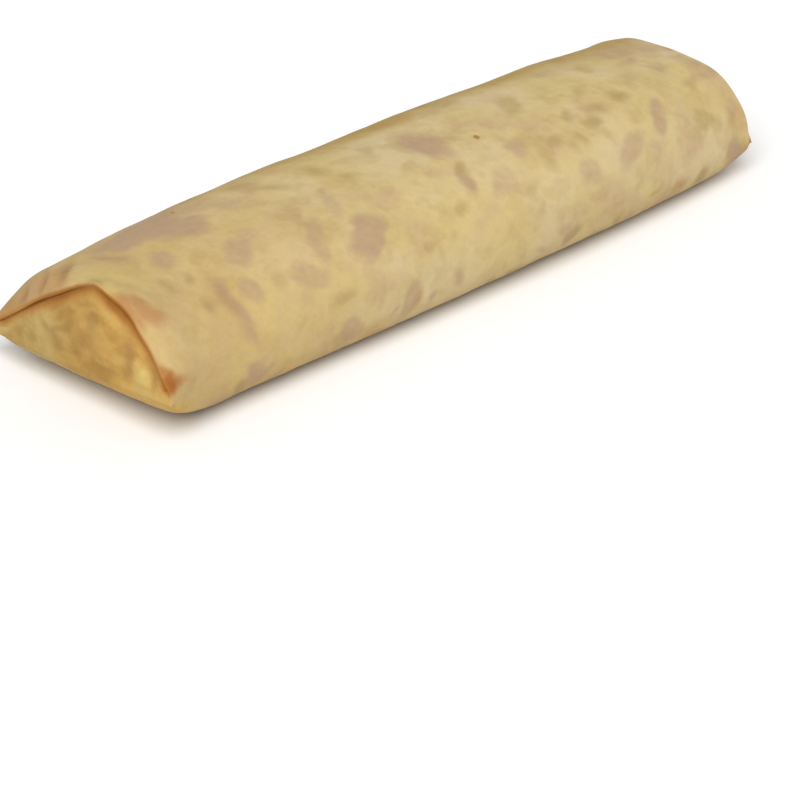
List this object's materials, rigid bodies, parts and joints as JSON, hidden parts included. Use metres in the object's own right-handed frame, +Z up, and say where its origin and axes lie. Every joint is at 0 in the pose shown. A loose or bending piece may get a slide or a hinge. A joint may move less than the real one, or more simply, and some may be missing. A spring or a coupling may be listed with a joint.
{
  "type": "strawberry blintz",
  "caption": "Rolled crepe parcel with both ends tucked in under a thin lip, lying on the edge of its wrap.",
  "frame": {"origin": "middle of the bounding box at the underside, on the surface that the blintz lies on", "axes": "+X along the roll towards the rounder end, +Y towards the back, +Z up"},
  "size_m": [0.1262, 0.04, 0.0197],
  "materials": {
    "crepe": "soft matte cooked crepe, pale yellow with mauve and olive griddle spots and orange-brown edges"
  },
  "bodies": {
    "root": {"blintz": "crepe"}
  },
  "joints": []
}
